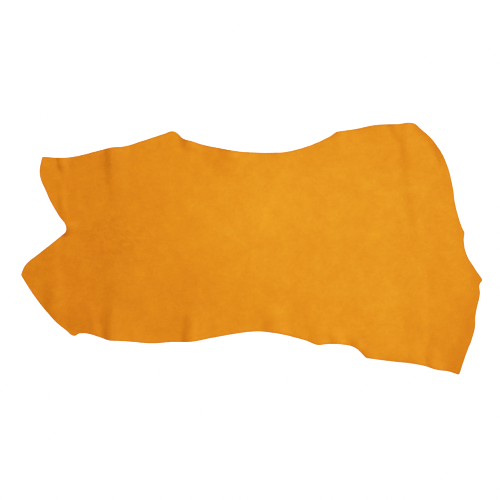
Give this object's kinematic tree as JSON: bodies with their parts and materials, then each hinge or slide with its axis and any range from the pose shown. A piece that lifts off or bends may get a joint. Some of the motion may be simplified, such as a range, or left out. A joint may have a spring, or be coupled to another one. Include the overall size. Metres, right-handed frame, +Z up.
{
  "type": "leather hide",
  "caption": "Whole tanned hide lying flat with its grain side up, with trimmed shanks, a tail notch and soft ripples running in from its edges.",
  "frame": {"origin": "middle of the hide's box, on the surface that it lies on", "axes": "+X from the hind shanks towards the neck, +Y across the hide towards its upper flank, +Z up out of the grain side"},
  "size_m": [1.154, 0.63, 0.0094],
  "materials": {
    "leather": "dry matt grain, orange tan"
  },
  "bodies": {
    "root": {"hide": "leather"}
  },
  "joints": []
}
